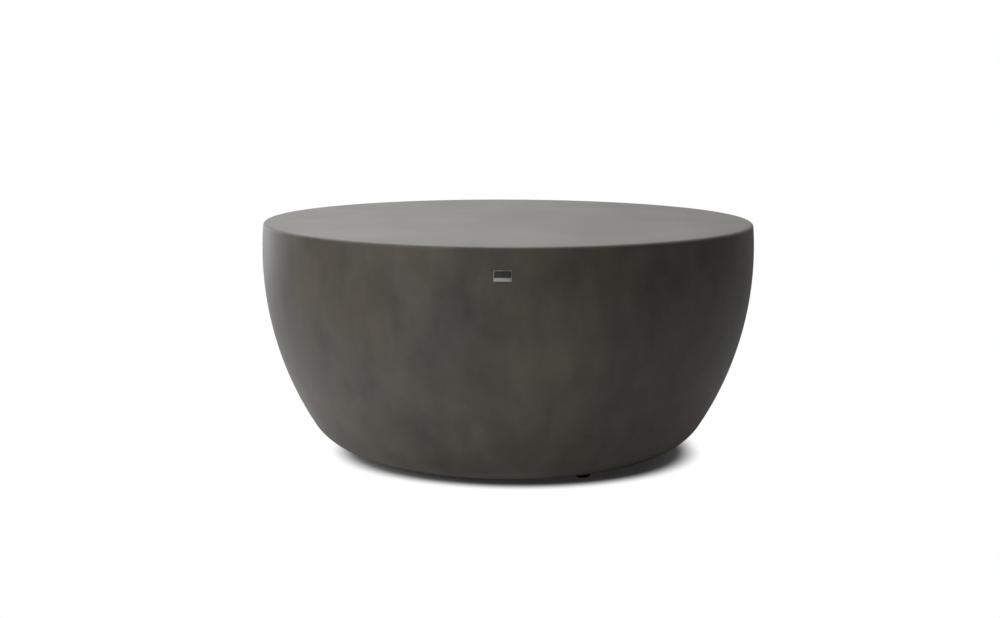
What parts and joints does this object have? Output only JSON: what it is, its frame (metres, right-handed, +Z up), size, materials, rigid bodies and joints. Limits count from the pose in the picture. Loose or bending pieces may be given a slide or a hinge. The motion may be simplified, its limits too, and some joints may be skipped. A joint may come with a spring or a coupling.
{
  "type": "round concrete coffee table",
  "caption": "Round low table: a hollow bowl-shaped concrete casting with a flat closed top, a blank metal plate in its wall and screw-in levelling feet.",
  "frame": {"origin": "on the floor, under the centre of the round top", "axes": "+Z up; -Y is the front, where the plate is; +X is to the right of someone who faces the plate"},
  "size_m": [0.9, 0.9003, 0.42],
  "materials": {
    "concrete": "smooth matt cast concrete, sealed, warm dark grey with soft clouding",
    "brushed_plate": "brushed along its length, bare",
    "tape": "foam adhesive tape",
    "insert_brass": "turned, dull",
    "zinc_steel": "zinc plated",
    "black_nylon": "moulded, satin",
    "sole_rubber": "matt"
  },
  "bodies": {
    "table": {"concrete_shell": "concrete", "name_plate": "brushed_plate", "plate_tape": "tape", "front_right_insert": "insert_brass", "rear_right_insert": "insert_brass", "rear_left_insert": "insert_brass", "front_left_insert": "insert_brass"},
    "front_right_foot": {"front_right_pad": "black_nylon", "front_right_sole": "sole_rubber"},
    "front_right_screw": {"front_right_stud": "zinc_steel"},
    "rear_right_foot": {"rear_right_pad": "black_nylon", "rear_right_sole": "sole_rubber"},
    "rear_right_screw": {"rear_right_stud": "zinc_steel"},
    "rear_left_foot": {"rear_left_pad": "black_nylon", "rear_left_sole": "sole_rubber"},
    "rear_left_screw": {"rear_left_stud": "zinc_steel"},
    "front_left_foot": {"front_left_pad": "black_nylon", "front_left_sole": "sole_rubber"},
    "front_left_screw": {"front_left_stud": "zinc_steel"}
  },
  "joints": [
    {"name": "front_right_lift", "type": "slide", "parent": "table", "child": "front_right_foot", "axis": [0, 0, -1], "range_m": [0, 0.01]},
    {"name": "front_right_turn", "type": "hinge", "parent": "front_right_foot", "child": "front_right_screw", "pos_m": [0.13381, -0.24139, 0.0045], "axis": [0, 0, -1], "range_deg": [0, 2880]},
    {"name": "rear_right_lift", "type": "slide", "parent": "table", "child": "rear_right_foot", "axis": [0, 0, -1], "range_m": [0, 0.01]},
    {"name": "rear_right_turn", "type": "hinge", "parent": "rear_right_foot", "child": "rear_right_screw", "pos_m": [0.24139, 0.13381, 0.0045], "axis": [0, 0, -1], "range_deg": [0, 2880]},
    {"name": "rear_left_lift", "type": "slide", "parent": "table", "child": "rear_left_foot", "axis": [0, 0, -1], "range_m": [0, 0.01]},
    {"name": "rear_left_turn", "type": "hinge", "parent": "rear_left_foot", "child": "rear_left_screw", "pos_m": [-0.13381, 0.24139, 0.0045], "axis": [0, 0, -1], "range_deg": [0, 2880]},
    {"name": "front_left_lift", "type": "slide", "parent": "table", "child": "front_left_foot", "axis": [0, 0, -1], "range_m": [0, 0.01]},
    {"name": "front_left_turn", "type": "hinge", "parent": "front_left_foot", "child": "front_left_screw", "pos_m": [-0.24139, -0.13381, 0.0045], "axis": [0, 0, -1], "range_deg": [0, 2880]}
  ],
  "couplings": [
    {"joint": "front_right_lift", "follows": "front_right_turn", "m_per_rad": 0.00019894},
    {"joint": "rear_right_lift", "follows": "rear_right_turn", "m_per_rad": 0.00019894},
    {"joint": "rear_left_lift", "follows": "rear_left_turn", "m_per_rad": 0.00019894},
    {"joint": "front_left_lift", "follows": "front_left_turn", "m_per_rad": 0.00019894}
  ]
}
